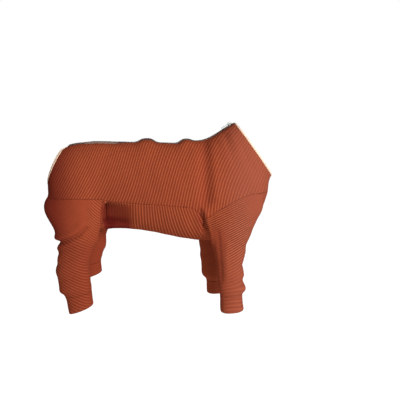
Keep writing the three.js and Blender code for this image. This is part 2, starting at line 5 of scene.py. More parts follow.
import bpy
import numpy as np
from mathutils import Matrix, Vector
from mathutils.bvhtree import BVHTree
from mathutils.geometry import tessellate_polygon


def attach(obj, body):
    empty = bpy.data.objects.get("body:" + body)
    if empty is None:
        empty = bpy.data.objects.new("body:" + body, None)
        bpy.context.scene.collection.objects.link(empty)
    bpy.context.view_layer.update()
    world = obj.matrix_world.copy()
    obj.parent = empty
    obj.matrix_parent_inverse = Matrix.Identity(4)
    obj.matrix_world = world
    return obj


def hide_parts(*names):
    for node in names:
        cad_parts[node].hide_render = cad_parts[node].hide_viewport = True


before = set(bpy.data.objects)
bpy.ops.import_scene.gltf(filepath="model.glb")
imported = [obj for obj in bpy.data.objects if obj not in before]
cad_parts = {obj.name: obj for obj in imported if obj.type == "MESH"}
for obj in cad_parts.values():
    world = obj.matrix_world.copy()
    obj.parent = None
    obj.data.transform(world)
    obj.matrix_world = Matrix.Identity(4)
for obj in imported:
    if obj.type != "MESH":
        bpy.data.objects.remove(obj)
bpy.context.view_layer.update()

# Sizes in metres. The tables' columns are the part's own: shares of these sizes.
BACK_LENGTH, BODY_DEPTH, CHEST_WIDTH, LEG_SPREAD = 0.442, 0.25, 0.172, 0.176
VOXEL = 0.0025
CLOTH = 0.0016
# How far the cloth is tucked in at a seam, and how far it swells beside it
SEAM_TUCK, SEAM_SWELL = 0.0006, 0.0001
# How far the skin goes on beyond the cuts at neck and tail, so that the bindings find a surface there
EDGE_MARGIN = 0.012
ZIP_HALF_GAP = 0.007
# The height below which the back panels have no gap for the zip
ZIP_FOOT = -0.06
TAPE_WIDTH = 0.013
TOOTH_PITCH = 0.0021
# Two rows of stitches over each hem, as heights above it, and the stitches' pitch, length and radius
HEM_ROWS = (0.0075, 0.0093)
HEM_STITCH, BINDING_STITCH = (0.0034, 0.0023, 0.00024), (0.0026, 0.0017, 0.00026)

# back, rise, belly, drop, width
BODY_SECTIONS = [
    (-0.497, -0.285, -0.497, -0.6, 0.36),
    (-0.478, -0.165, -0.48, -0.72, 0.62),
    (-0.442, -0.058, -0.436, -0.82, 0.8),
    (-0.373, 0, -0.36, -0.894, 0.9),
    (-0.317, 0.0165, -0.271, -0.902, 0.9),
    (-0.226, 0.028, -0.208, -0.89, 0.86),
    (-0.113, 0.0265, -0.102, -0.878, 0.82),
    (0, 0.0205, 0, -0.886, 0.84),
    (0.038, 0.0195, 0.034, -0.895, 0.857),
    (0.086, 0.0195, 0.081, -0.91, 0.882),
    (0.13, 0.0195, 0.128, -0.924, 0.91),
    (0.226, 0.0115, 0.215, -0.957, 0.96),
    (0.296, 0.024, 0.3, -0.984, 0.99),
    (0.35, 0.037, 0.376, -0.998, 1),
    (0.41, 0.06, 0.48, -0.99, 1),
    (0.468, 0.116, 0.6, -0.925, 0.97),
    (0.516, 0.172, 0.7, -0.76, 0.92),
    (0.553, 0.212, 0.756, -0.54, 0.83),
    (0.577, 0.239, 0.771, -0.36, 0.74),
    (0.615, 0.281, 0.814, -0.232, 0.68),
]
# down, rear, front, rise, inner, outer
HIND_SECTIONS = [
    (0.254, -0.4, 0.36, 0.07, 0.23, 0.66),
    (0.327, -0.54, 0.44, 0.04, 0.17, 0.87),
    (0.391, -0.545, 0.49, 0.05, 0.17, 0.95),
    (0.455, -0.46, 0.448, 0.03, 0.18, 0.98),
    (0.517, -0.372, 0.386, 0.01, 0.2, 0.98),
    (0.579, -0.336, 0.345, -0.01, 0.25, 0.98),
    (0.639, -0.338, 0.269, 0, 0.28, 0.98),
    (0.705, -0.352, 0.207, 0, 0.31, 0.98),
    (0.765, -0.379, 0.186, 0, 0.32, 1),
    (0.833, -0.359, 0.2, 0, 0.32, 1),
    (0.885, -0.32, 0.207, 0.03, 0.32, 0.99),
    (0.905, -0.255, 0.208, 0.07, 0.34, 0.955),
    (1.05, -0.187, 0.235, 0.18, 0.35, 0.955),
]
FRONT_SECTIONS = [
    (0.193, -0.367, 0.31, 0.27, 0.23, 0.6),
    (0.325, -0.447, 0.49, 0.2, 0.17, 0.84),
    (0.405, -0.5, 0.505, 0.21, 0.17, 0.96),
    (0.472, -0.473, 0.42, 0.16, 0.18, 0.99),
    (0.548, -0.367, 0.3, 0.13, 0.22, 1),
    (0.631, -0.313, 0.227, 0.08, 0.28, 1),
    (0.718, -0.273, 0.187, 0.03, 0.31, 1),
    (0.812, -0.247, 0.187, 0.03, 0.33, 1),
    (0.882, -0.23, 0.21, 0.03, 0.34, 1),
    (0.905, -0.21, 0.172, 0.02, 0.36, 0.97),
    (1.05, -0.194, 0.22, 0.04, 0.36, 0.985),
]
# Folds and dents: at, slope, angle, spread, height and length in tenths of a millimetre, 2 for a round crest or 4
# for a flat one
BODY_FOLDS = [
    (0.063, 0, 0, 26, 104, 202, 4),
    (0.288, 0, 0, 26, 88, 162, 4),
    (0.41, -0.03, 62, 40, -40, 180, 2),
    (-0.19, 0, 118, 26, -100, 320, 2),
]
HIND_FOLDS = [
    (0.596, 0.06, 178, 50, -42, 70, 2),
    (0.54, 0.03, 130, 50, 36, 180, 2),
    (0.625, 0.01, 180, 45, 35, 60, 2),
    (0.65, 0.02, 180, 42, -35, 50, 2),
    (0.69, -0.02, 185, 40, 20, 80, 2),
    (0.715, -0.03, 180, 36, -18, 50, 2),
    (0.751, -0.02, 180, 48, 30, 140, 2),
    (0.8, -0.03, 170, 40, -12, 60, 2),
    (0.889, 0.01, 180, 62, 50, 80, 2),
    (0.8, 0.02, 0, 40, 16, 80, 2),
    (0.72, 0.03, 5, 38, -16, 70, 2),
    (0.88, 0.02, 20, 60, 20, 70, 2),
]
FRONT_FOLDS = [
    (0.47, 0.02, 0, 40, -20, 80, 2),
    (0.55, 0.02, 0, 40, 30, 120, 2),
    (0.61, 0.03, 0, 42, -22, 70, 2),
    (0.655, 0.04, 0, 42, 20, 80, 2),
    (0.728, 0.04, 5, 45, -36, 70, 2),
    (0.775, 0.04, 5, 45, 22, 80, 2),
    (0.825, 0.02, 5, 45, -15, 60, 2),
    (0.876, 0.01, 0, 60, 52, 75, 2),
    (0.7, 0.02, 180, 30, -15, 60, 2),
    (0.86, 0.01, 180, 50, 20, 80, 2),
]
# The seam under the back panels in side view
SEAM_ALONG = [-0.9, -0.31, -0.172, -0.13, 0.154, 0.32, 0.362, 0.389, 0.462, 0.566, 0.647, 1.2]
SEAM_DOWN = [0.52, 0.52, 0.532, 0.56, 0.58, 0.6, 0.65, 0.73, 0.64, 0.532, 0.476, 0.46]
HALF_GUSSET = 0.012
CUFF_HEIGHT = 0.036
NECK_TOP, NECK_FOOT = (0.56, 0.215), (0.774, -0.304)
TAIL_TOP, TAIL_FOOT = (-0.4, -0.04), (-0.483, -0.356)

# Sizes in metres; corner is the seam's point where the sleeve's edge starts, lean how far the edge runs back as a share
# of the back, and end which end of the suit the leg is at
HIND = {"sections": HIND_SECTIONS, "folds": HIND_FOLDS, "middle": -0.145, "width": 0.145, "drop": 0.413}
HIND.update(corner=2, lean=-0.03, end=-1)
FRONT = {"sections": FRONT_SECTIONS, "folds": FRONT_FOLDS, "middle": 0.245, "width": 0.15, "drop": 0.415}
FRONT.update(corner=7, lean=-0.01, end=1)
# lift and sway move a far leg to where the photo shows it, full widens its sleeve towards the other legs, settling is
# the share of the drop over which that ends, and hem is the share at which the cuff ends
LEG_KEYS = ("side", "lift", "sway", "full", "settling", "hem")
LEGS = {
    "hind_right": (HIND, -1, 0, 0, 0, 1, 1.012),
    "hind_left": (HIND, 1, 0.045, 0, 0.02, 0.16, 1),
    "front_right": (FRONT, -1, 0, 0, 0, 1, 1.012),
    "front_left": (FRONT, 1, 0, -0.033, 0.008, 0.04, 1),
}
LEGS = {name: {**kind, **dict(zip(LEG_KEYS, row))} for name, (kind, *row) in LEGS.items()}

# Creases and ridges that run across the cloth, in side view and in tenths of a millimetre: which side (-1 right,
# 1 left, 0 both), height at the start and at the end, width, points
FLANK_EDGE = [(-580, -1375), (-635, -1457), (-666, -1679), (-685, -1854), (-716, -2060)]
CREASES = [
    (-1, -62, -52, 42, [(-1935, -2408), (-1760, -2370), (-1610, -2306), (-1310, -2155), (-1100, -1950)]),
    (-1, 58, 16, 75, [(-1980, -2280), (-1650, -2195), (-1376, -2040), (-1146, -1810)]),
    (-1, 30, 12, 55, [(-1900, -2520), (-1650, -2455), (-1380, -2315), (-1120, -2100)]),
    (-1, -30, -10, 42, [(-1898, -2612), (-1673, -2561), (-1420, -2433)]),
    (-1, -30, -10, 42, [(-1858, -2869), (-1586, -2791), (-1350, -2680)]),
    (-1, 16, 4, 60, [(-1920, -3120), (-1650, -3040), (-1400, -2900)]),
    (-1, -14, -4, 50, [(-1880, -3380), (-1600, -3280), (-1400, -3150)]),
    (-1, 12, 30, 65, [(-720, -1280), (-725, -1432), (-760, -1679), (-810, -2004)]),
    (-1, 30, 12, 65, [(-810, -2004), (-884, -2306), (-970, -2612), (-1040, -3000)]),
    (-1, -40, -78, 55, FLANK_EDGE),
    (1, -40, -65, 55, FLANK_EDGE),
    (0, -42, -70, 130, [(1720, 120), (1735, -462), (1780, -1065), (1765, -1605)]),
    (0, 18, 30, 110, [(1930, 100), (1960, -462), (2020, -1065), (2030, -1450)]),
    (0, -60, -110, 56, [(1610, -1520), (1645, -1605), (1690, -1854), (1739, -2179)]),
    (-1, 30, 22, 45, [(1760, -1580), (1826, -1854), (1900, -2155), (1960, -2500)]),
    (-1, 10, 10, 19, [(1900, -2220), (1926, -2332), (1977, -2689), (2029, -3076), (2081, -3541)]),
    (-1, -20, -26, 48, [(2060, -2050), (2103, -2433), (2135, -2869), (2170, -3441)]),
    (-1, 16, 12, 60, [(2300, -2300), (2290, -2869), (2310, -3300)]),
    (-1, -12, -4, 50, [(-1180, -1500), (-1060, -1680), (-980, -1920)]),
    (0, -12, -6, 100, [(-600, -120), (-750, -600), (-900, -1100)]),
    (0, -10, -4, 120, [(550, -120), (420, -600), (280, -1100)]),
    (0, -14, -4, 80, [(1360, 0), (1280, -400), (1180, -750)]),
    (0, -18, -6, 75, [(2220, 300), (2342, -106), (2491, -582)]),
    (0, 12, 4, 90, [(2400, 300), (2530, -100), (2700, -600)]),
    (0, -14, -6, 70, [(2620, 0), (2830, -450), (3050, -850)]),
    (-1, -16, -5, 52, [(3000, -1780), (2830, -1860), (2620, -1820)]),
    (-1, -18, -4, 45, [(2720, -2450), (2560, -2530), (2400, -2520)]),
    (-1, -24, -5, 45, [(2680, -2946), (2520, -3030), (2340, -3020)]),
    (-1, 20, 6, 60, [(2760, -3220), (2550, -3300), (2350, -3280)]),
    (-1, -14, -4, 45, [(2740, -3400), (2550, -3470), (2360, -3450)]),
    (1, -34, -5, 50, [(-2050, -2050), (-1750, -1980), (-1400, -1760)]),
    (1, 24, 6, 60, [(-2000, -1900), (-1700, -1840), (-1400, -1660)]),
    (1, -22, -6, 50, [(-1900, -2450), (-1550, -2380), (-1200, -2220)]),
    (1, -24, -6, 50, [(1450, -2650), (1700, -2880), (1950, -3000)]),
    (1, 20, 6, 60, [(1480, -3000), (1750, -3180), (2000, -3250)]),
]
# The recess before each thigh: how far it goes in across the suit, and how far its rear end reaches under the thigh
FLANK_RECESS, FLANK_UNDERCUT = 0.018, 0.014
# Hollows: side, depth, middle and half sizes
HOLLOWS = [
    (-1, 0.0045, (-0.043, -0.172), (0.028, 0.034)),
    (1, 0.0045, (-0.043, -0.172), (0.028, 0.034)),
    (-1, 0.0030, (0.150, -0.195), (0.016, 0.03)),
]


def curve(rows, steps):
    """A smooth curve through the rows of a table, with that many steps between two rows."""
    rows = np.asarray(rows, float)
    t = np.linspace(0, len(rows) - 1, steps * (len(rows) - 1) + 1)
    i = np.minimum(t.astype(int), len(rows) - 2)
    f = (t - i)[:, None]
    p, q, r, s = (rows[np.clip(i + k, 0, len(rows) - 1)] for k in (-1, 0, 1, 2))
    bend = 2 * p - 5 * q + 4 * r - s + f * (3 * (q - r) + s - p)
    return q + 0.5 * f * (r - p + f * bend)


def rise(x, start, length):
    """0 up to the start and 1 from a length beyond it, smooth between them."""
    t = np.clip((x - start) / length, 0, 1)
    return t * t * (3 - 2 * t)


def fall(x, start, length):
    """0 above the start and 1 from a length below it, smooth between them."""
    return rise(-x, -start, length)


def superellipse(sides, power=1):
    """Two coordinates round a ring, squarer the smaller the power, and the angles in degrees."""
    angle = np.arange(sides) * 2 * np.pi / sides
    around = np.stack([np.cos(angle), np.sin(angle)])
    return np.sign(around) * np.abs(around) ** power, np.degrees(angle)


def unit(vectors):
    return vectors / np.linalg.norm(vectors, axis=1, keepdims=True)


def fold_height(folds, share, degrees, size):
    """Height at shares of a piece's size (rows) and angles round its section (columns)."""
    total = np.zeros((len(share), len(degrees)))
    for at, slope, angle, spread, height, length, power in folds:
        turn = (degrees - angle + 180) % 360 - 180
        off = np.abs(share[:, None] - at - slope * turn[None, :] / 90) * size / (length / 10000)
        total += height / 10000 * np.exp(-(off**power) - (turn[None, :] / spread) ** 2)
    return total


def tube(rings, closed=False):
    """A tube through rings of points, joined end to end or with a fan of faces over each end."""
    count, sides = rings.shape[:2]
    ring, at = np.divmod(np.arange((count if closed else count - 1) * sides), sides)
    beyond, after = (ring + 1) % count, (at + 1) % sides
    a, b, c, d = ring * sides + at, ring * sides + after, beyond * sides + after, beyond * sides + at
    faces = [np.stack([a, b, c], 1), np.stack([a, c, d], 1)]
    points = [rings.reshape(-1, 3)]
    for end, turned in () if closed else ((0, True), (count - 1, False)):
        centre = np.full(sides, count * sides + len(points) - 1)
        points.append(rings[end].mean(0)[None])
        a = end * sides + np.arange(sides)
        b = end * sides + (np.arange(sides) + 1) % sides
        faces.append(np.stack([a, centre, b] if turned else [a, b, centre], 1))
    points, faces = np.concatenate(points), np.concatenate(faces)
    corners = points[faces]
    volume = np.einsum("ij,ij->", corners[:, 0], np.cross(corners[:, 1], corners[:, 2]))
    return points, faces if volume > 0 else faces[:, ::-1]


def together(parts):
    """Several meshes as one."""
    starts = np.cumsum([0] + [len(points) for points, _ in parts])
    faces = [faces + start for (_, faces), start in zip(parts, starts)]
    return np.concatenate([points for points, _ in parts]), np.concatenate(faces)


def body_tube():
    rows = curve(BODY_SECTIONS, 8)
    (up, across), degrees = superellipse(144, 2 / 2.15)
    top, foot = (
        np.stack([rows[:, k] * BACK_LENGTH, 0 * rows[:, 0], rows[:, k + 1] * BODY_DEPTH], 1) for k in (0, 2)
    )
    rings = ((top + foot) / 2)[:, None] + ((top - foot) / 2)[:, None] * up[None, :, None]
    rings[..., 1] -= across * rows[:, 4:] * CHEST_WIDTH / 2
    return raised(rings, fold_height(BODY_FOLDS, rows[:, 0], np.minimum(degrees, 360 - degrees), BACK_LENGTH))


def raised(rings, height):
    """The tube of these rings, each point moved outwards by its own height."""
    points, faces = tube(rings)
    flat = np.concatenate([height.ravel(), np.zeros(2)])
    return points + normals(points, faces) * flat[:, None], faces


def leg_row(leg, row):
    """Middle, fore-and-aft half and half across of a leg's sections."""
    row = np.atleast_2d(row)
    down = row[:, 0]
    width, drop = leg["width"], leg["drop"]
    moved = rise(down, 0.3, 0.38)
    half = leg["side"] * LEG_SPREAD / 2
    zero = 0 * moved
    full = leg["full"] * rise(down, 0.42, 0.18) * fall(down, 1 - CUFF_HEIGHT / drop, leg["settling"])
    rear = row[:, 1] * width - (full if leg["end"] > 0 else 0)
    front = row[:, 2] * width + (full if leg["end"] < 0 else 0)
    x = leg["middle"] + leg["sway"] * moved + (rear + front) / 2
    centre = np.stack([x, (row[:, 4] + row[:, 5]) / 2 * half, leg["lift"] * moved - down * drop], 1)
    forward = np.stack([(front - rear) / 2, zero, row[:, 3] / 2 * width], 1)
    outward = np.stack([zero, (row[:, 5] - row[:, 4]) / 2 * half, zero], 1)
    return centre, forward, outward


def leg_tube(leg):
    rows = curve(leg["sections"], 8)
    (fore, out), degrees = superellipse(96, 2 / 2.25)
    centre, forward, outward = leg_row(leg, rows)
    rings = centre[:, None] + forward[:, None] * fore[None, :, None] + outward[:, None] * out[None, :, None]
    return raised(rings, fold_height(leg["folds"], rows[:, 0], degrees, leg["drop"]))


def crosses(points, faces):
    """A normal of each triangle, twice its area long."""
    corners = points[faces]
    return np.cross(corners[:, 1] - corners[:, 0], corners[:, 2] - corners[:, 0])


def normals(points, faces):
    across = crosses(points, faces)
    total = np.zeros_like(points)
    for k in range(3):
        for axis in range(3):
            total[:, axis] += np.bincount(faces[:, k], across[:, axis], len(points))
    return total / np.maximum(np.linalg.norm(total, axis=1, keepdims=True), 1e-12)


def edges_of(faces):
    """Each edge once, and whether only one face uses it."""
    pairs = np.concatenate([faces[:, [0, 1]], faces[:, [1, 2]], faces[:, [2, 0]]])
    _, first, count = np.unique(np.sort(pairs, 1), axis=0, return_index=True, return_counts=True)
    return pairs[first], count == 1


def smoothed(points, faces, times, weight=0.5):
    """Each point drawn towards its neighbours; a rim's points stay."""
    edges, rim = edges_of(faces)
    free = np.ones(len(points))
    free[edges[rim].ravel()] = 0
    ends = np.concatenate([edges, edges[:, ::-1]])
    count = np.maximum(np.bincount(ends[:, 0], minlength=len(points)), 1)
    points = points.copy()
    for _ in range(times):
        mean = np.stack([np.bincount(ends[:, 0], points[ends[:, 1], k], len(points)) / count for k in range(3)], 1)
        points += weight * free[:, None] * (mean - points)
    return points


def linked(name, data):
    obj = bpy.data.objects.new(name, data)
    bpy.context.collection.objects.link(obj)
    return obj


def mesh_from(name, points, faces):
    mesh = bpy.data.meshes.new(name)
    mesh.from_pydata(np.asarray(points).tolist(), [], np.asarray(faces).tolist())
    mesh.update()
    return mesh


def remeshed(parts):
    """One even skin round several closed tubes."""
    obj = linked("tubes", mesh_from("tubes", *together(parts)))
    modifier = obj.modifiers.new("remesh", "REMESH")
    modifier.mode = "VOXEL"
    modifier.voxel_size = VOXEL
    mesh = obj.evaluated_get(bpy.context.evaluated_depsgraph_get()).to_mesh()
    mesh.calc_loop_triangles()
    p = np.empty(len(mesh.vertices) * 3)
    mesh.vertices.foreach_get("co", p)
    f = np.empty(len(mesh.loop_triangles) * 3, int)
    mesh.loop_triangles.foreach_get("vertices", f)
    bpy.data.objects.remove(obj)
    return p.reshape(-1, 3), f.reshape(-1, 3)


def line_distance(x, z, line):
    """Distance from points in side view to a line through several points, and how far along the nearest one is."""
    best, along, start = np.full(len(x), 1e9), np.zeros(len(x)), 0
    for (x0, z0), (x1, z1) in zip(line, line[1:]):
        length = math.hypot(x1 - x0, z1 - z0)
        t = np.clip(((x - x0) * (x1 - x0) + (z - z0) * (z1 - z0)) / length**2, 0, 1)
        d = np.hypot(x - x0 - t * (x1 - x0), z - z0 - t * (z1 - z0))
        closer = d < best
        best = np.where(closer, d, best)
        along = np.where(closer, start + t * length, along)
        start += length
    return best, along, start


def creased(points, faces):
    """The skin's points moved for its creases, hollows, the recesses before the thighs and a slight unevenness."""
    n = normals(points, faces)
    height = np.zeros(len(points))
    x, y, z = points.T
    for side, first, last, width, line in CREASES:
        first, last, width, line = (np.array(tenths) / 10000 for tenths in (first, last, width, line))
        d, along, length = line_distance(x, z, curve(line, 4))
        ends = rise(along, -0.001, width) * fall(along, length, 2 * width)
        facing = 1 if side == 0 else rise(side * n[:, 1], -0.35, 0.5)
        height += (first + (last - first) * along / length) * np.exp(-((d / width) ** 2)) * ends * facing
    for side, depth, (x0, z0), (a, b) in HOLLOWS:
        away = ((x - x0) / a) ** 2 + ((z - z0) / b) ** 2
        height -= depth * np.exp(-away) * rise(side * n[:, 1], -0.35, 0.5)
    wall = rise(x, -0.0735, 0.009) * (1 - rise(x, -0.055, 0.066))
    wall *= fall(z, -0.138, 0.015) * rise(z, -0.208, 0.012) * rise(np.abs(y), 0.012, 0.03)
    points = points - np.stack([wall * FLANK_UNDERCUT, np.sign(y) * wall * FLANK_RECESS, 0 * x], 1)
    height += 0.0004 * np.sin(x * 61 + z * 23 + 1.3) * np.sin(z * 57 - y * 41 + 0.4)
    height += 0.0003 * np.sin(x * 133 - z * 71 + y * 90) * np.sin(z * 111 + x * 37 + 2.1)
    return points + n * height[:, None]


def seam_height(x):
    along = np.linspace(SEAM_ALONG[0], SEAM_ALONG[-1], 2101)
    down = np.interp(along, SEAM_ALONG, SEAM_DOWN)
    kernel = np.exp(-(np.linspace(-2, 2, 13) ** 2))
    down = np.convolve(np.pad(down, 6, mode="edge"), kernel / kernel.sum(), "valid")
    return np.interp(x / BACK_LENGTH, along, -down * BODY_DEPTH)


def plane_field(top, foot, outward):
    """Distance beyond the plane through two points in side view, given as shares, and its normal."""
    (x0, z0), (x1, z1) = [(a * BACK_LENGTH, b * BODY_DEPTH) for a, b in (top, foot)]
    length = math.hypot(x1 - x0, z1 - z0)
    normal = np.array([z0 - z1, 0, x1 - x0]) / length * outward
    return lambda p: (p - np.array([x0, 0, z0])) @ normal, normal


neck_field, NECK_NORMAL = plane_field(NECK_TOP, NECK_FOOT, 1)
tail_field, TAIL_NORMAL = plane_field(TAIL_TOP, TAIL_FOOT, -1)


def sleeve_field(leg):
    x0, z0 = SEAM_ALONG[leg["corner"]] * BACK_LENGTH, -SEAM_DOWN[leg["corner"]] * BODY_DEPTH
    end = leg["end"]
    lean = leg["lean"] * BACK_LENGTH + leg["sway"] - end * leg["full"]

    def field(p):
        edge = x0 + lean * np.clip((z0 - p[:, 2]) / (BODY_DEPTH + z0), 0, 1)
        return np.minimum(leg["side"] * p[:, 1] - HALF_GUSSET, end * (p[:, 0] - edge))

    return field


def leg_plane(leg, down):
    """Distance beyond the plane across a leg at a share of its drop."""
    rows = curve(leg["sections"], 40)
    row = rows[np.argmin(np.abs(rows[:, 0] - down))]
    centre, forward, _ = (part[0] for part in leg_row(leg, row))
    normal = np.cross(forward, (0, 1, 0))
    normal *= -np.sign(normal[2]) / np.linalg.norm(normal)
    return lambda p: (p - centre) @ normal


def split(points, faces, field):
    """The parts of a skin where field is above zero and below zero, cut exactly along the line between them."""
    f = field(points)
    step = 1e-5
    slope = np.stack([(field(points + step * e) - f) / step for e in np.eye(3)], 1)
    n = normals(points, faces)
    slope -= n * (slope * n).sum(1, keepdims=True)
    steep = (slope * slope).sum(1)
    near = (steep > 0.05) & (np.abs(f) < 0.33 * VOXEL * np.sqrt(steep))
    points = points.copy()
    points[near] -= (f / np.maximum(steep, 1e-9))[near, None] * slope[near]
    f[near] = 0
    sign = np.sign(f).astype(int)
    s = sign[faces]
    high, low = (s >= 0).all(1), (s <= 0).all(1) & (s < 0).any(1)
    uncut = {1: faces[high], -1: faces[low]}
    cuts, added, made = {}, [], {1: [], -1: []}

    def cut(a, b):
        key = (min(a, b), max(a, b))
        if key not in cuts:
            t = f[a] / (f[a] - f[b])
            cuts[key] = len(points) + len(added)
            added.append(points[a] + t * (points[b] - points[a]))
        return cuts[key]

    for tri in faces[~(high | low)].tolist():
        for way in (1, -1):
            loop = []
            for a, b in zip(tri, tri[1:] + tri[:1]):
                if sign[a] * way >= 0:
                    loop.append(a)
                if sign[a] * sign[b] < 0:
                    loop.append(cut(a, b))
            made[way] += [(loop[0], loop[k], loop[k + 1]) for k in range(1, len(loop) - 1)]
    everything = np.concatenate([points, np.array(added).reshape(-1, 3)])
    return [
        packed(everything, np.concatenate([uncut[way], np.array(made[way], int).reshape(-1, 3)])) for way in (1, -1)
    ]


def packed(points, faces):
    """Only the points that the faces use, without faces that have no area."""
    faces = faces[np.linalg.norm(crosses(points, faces), axis=1) > 1e-12]
    used, again = np.unique(faces, return_inverse=True)
    return points[used], again.reshape(-1, 3)


def rim_loops(faces):
    """The rims of a skin as closed lists of points."""
    edges, rim = edges_of(faces)
    after = {}
    for a, b in edges[rim].tolist():
        after.setdefault(a, []).append(b)
    loops = []
    while after:
        start = next(iter(after))
        loop, at = [start], after[start].pop()
        while at != start and at in after and after[at]:
            loop.append(at)
            at = after[at].pop()
        after = {k: v for k, v in after.items() if v}
        loops.append(loop)
    return loops


# Stripes: a smooth field whose whole numbers are the middles of the light stripes, and how strongly they show


def from_table(x, table):
    """Values between the rows (place, value) of a table."""
    return np.interp(x, [row[0] for row in table], [row[1] for row in table])


def running(x, pitch):
    """Stripes counted along a coordinate whose pitch changes as a table says."""
    grid = np.linspace(-0.6, 0.6, 2401)
    count = np.concatenate([[0], np.cumsum(0.5 / from_table(grid[:-1], pitch) * 0.001)])
    return np.interp(x, grid, count)


BACK_LEAN = [(-0.2, 26), (-0.11, 24), (-0.05, 18), (0.015, 15), (0.083, 17), (0.14, 20), (0.2, 21), (0.26, 28)]
BACK_BEND = [(-0.1, -2.0), (-0.05, -2.0), (0.05, 0.0), (0.12, 1.8), (0.18, 2.8), (0.3, 2.8)]
BACK_PITCH = [(-0.15, 0.0065), (0.01, 0.0064), (0.083, 0.0068), (0.15, 0.0070), (0.2, 0.0073), (0.26, 0.0086)]
BELLY_LEAN = [(-0.05, 6), (0.03, 0.5), (0.075, -8.5), (0.12, -17.5), (0.16, -24)]
BELLY_PITCH = [(-0.1, 0.0074), (0.03, 0.0074), (0.08, 0.0071), (0.12, 0.0076)]
FRONT_LEAN = [(-0.42, 3), (-0.36, 8), (-0.33, 22), (-0.28, 30), (-0.2, 27), (-0.12, 24)]
FRONT_PITCH = [
    (-0.45, 0.0106), (-0.37, 0.0104), (-0.345, 0.0092), (-0.31, 0.0079), (-0.27, 0.007), (-0.23, 0.0058),
    (-0.15, 0.0052),
]
FRONT_STRENGTH = [(-0.40, 0.25), (-0.37, 0.25), (-0.325, 0.2), (-0.28, 0.6), (-0.22, 0.95), (-0.19, 0.9), (-0.16, 0.7)]
HIND_LEAN = [(-0.42, -20), (-0.38, -30), (-0.33, -28), (-0.28, -28), (-0.22, -26), (-0.15, -25)]
HIND_PITCH = [(-0.42, 0.0084), (-0.37, 0.0083), (-0.34, 0.0075), (-0.29, 0.0074), (-0.24, 0.0080), (-0.15, 0.0074)]


def slope_of(at, table):
    return np.tan(np.radians(from_table(at, table)))


def back_stripes(p):
    x, z = p[:, 0], p[:, 2]
    off = z + 0.055
    phase = running(x - off * slope_of(x, BACK_LEAN) - off * off / 2 * from_table(x, BACK_BEND), BACK_PITCH)
    return phase, 0.5 - 0.28 * rise(x + 0.3 * z, 0.18, 0.08) - 0.26 * fall(x, -0.155, 0.04)


def belly_stripes(p):
    x, z = p[:, 0], p[:, 2]
    phase = running(x - (z + 0.19) * slope_of(x, BELLY_LEAN), BELLY_PITCH)
    return phase, 0.6 - 0.55 * (1 - rise(x, -0.014, 0.012)) * fall(z, -0.144, 0.008)


def inner_side(p):
    """1 on the sides of the legs that face each other, where the photo shows almost no stripes."""
    return (1 - rise(np.abs(p[:, 1]), 0.05, 0.018)) * fall(p[:, 2], -0.17, 0.03)


def front_stripes(leg):
    middle = leg["middle"] + leg["sway"] * 0.8

    def stripes(p):
        x, z = p[:, 0] - middle, p[:, 2]
        level = z - x * slope_of(z, FRONT_LEAN) + 7 * x * x * fall(z, -0.33, 0.04)
        strength = from_table(z, FRONT_STRENGTH) * (1 - 0.85 * rise(x + 0.3 * (z + 0.143), 0.018, 0.022))
        strength *= 1 - 0.7 * fall(x, -0.01, 0.014) * fall(z, -0.19, 0.03)
        return running(level, FRONT_PITCH), strength * (1 - 0.8 * inner_side(p))

    return stripes


def hind_stripes(leg):
    def stripes(p):
        x, z = p[:, 0] - leg["middle"], p[:, 2] - leg["lift"] * fall(p[:, 2], -0.13, 0.1)
        steeper = 0.45 * rise(x, 0.02, 0.03) * rise(z, -0.27, 0.05)
        level = z - x * slope_of(z, HIND_LEAN) + (x - 0.02) * steeper
        strength = 0.48 - 0.48 * rise(z, -0.235, 0.03) * fall(x, 0.045, 0.02)
        strength *= 1 - 0.8 * rise(x, 0.016, 0.02) * fall(z, -0.235, 0.03)
        return running(level, HIND_PITCH), strength * (1 - 0.8 * inner_side(p))

    return stripes


# Materials


class Nodes:
    """A material's nodes, made one call each."""

    def __init__(self, name):
        self.material = bpy.data.materials.new(name)
        self.material.use_nodes = True
        self.tree = self.material.node_tree
        self.tree.nodes.clear()
        self.shader = self.add("BsdfPrincipled")
        out = self.add("OutputMaterial")
        self.tree.links.new(self.shader.outputs[0], out.inputs["Surface"])

    def add(self, kind, settings=(), **inputs):
        node = self.tree.nodes.new("ShaderNode" + kind)
        for key, value in dict(settings).items():
            setattr(node, key, value)
        self.fill(node, **inputs)
        return node

    def fill(self, node, **inputs):
        """Sets or links a node's inputs, named with _ for a space or as i and a number."""
        for key, value in inputs.items():
            socket = node.inputs[int(key[1:])] if key[1:].isdigit() else node.inputs[key.replace("_", " ")]
            if isinstance(value, bpy.types.Node):
                value = value.outputs[0]
            if isinstance(value, bpy.types.NodeSocket):
                self.tree.links.new(value, socket)
            else:
                socket.default_value = value

    def surface(self, **inputs):
        self.fill(self.shader, **inputs)

    def math(self, operation, *values):
        return self.add("Math", {"operation": operation}, **{f"i{k}": v for k, v in enumerate(values)})

    def mix(self, share, a, b):
        return self.add("Mix", {"data_type": "RGBA"}, i0=share, i6=a, i7=b).outputs[2]

    def ramp(self, value, start, end):
        """0 at start and 1 at end, smooth between them."""
        settings = {"interpolation_type": "SMOOTHSTEP"}
        return self.add("MapRange", settings, Value=value, From_Min=start, From_Max=end)

    def attribute(self, name):
        return self.add("Attribute", {"attribute_name": name}).outputs["Fac"]

    def place(self):
        return self.add("TexCoord").outputs["Object"]

    def noise(self, scale, detail):
        return self.add("TexNoise", Vector=self.place(), Scale=scale, Detail=detail)

    def bump(self, height, distance, strength=1.0, **below):
        return self.add("Bump", Strength=strength, Distance=distance, Height=height, **below)


def linear(red, green, blue):
    def one(value):
        value /= 255
        return value / 12.92 if value <= 0.04045 else ((value + 0.055) / 1.055) ** 2.4

    return one(red), one(green), one(blue), 1.0


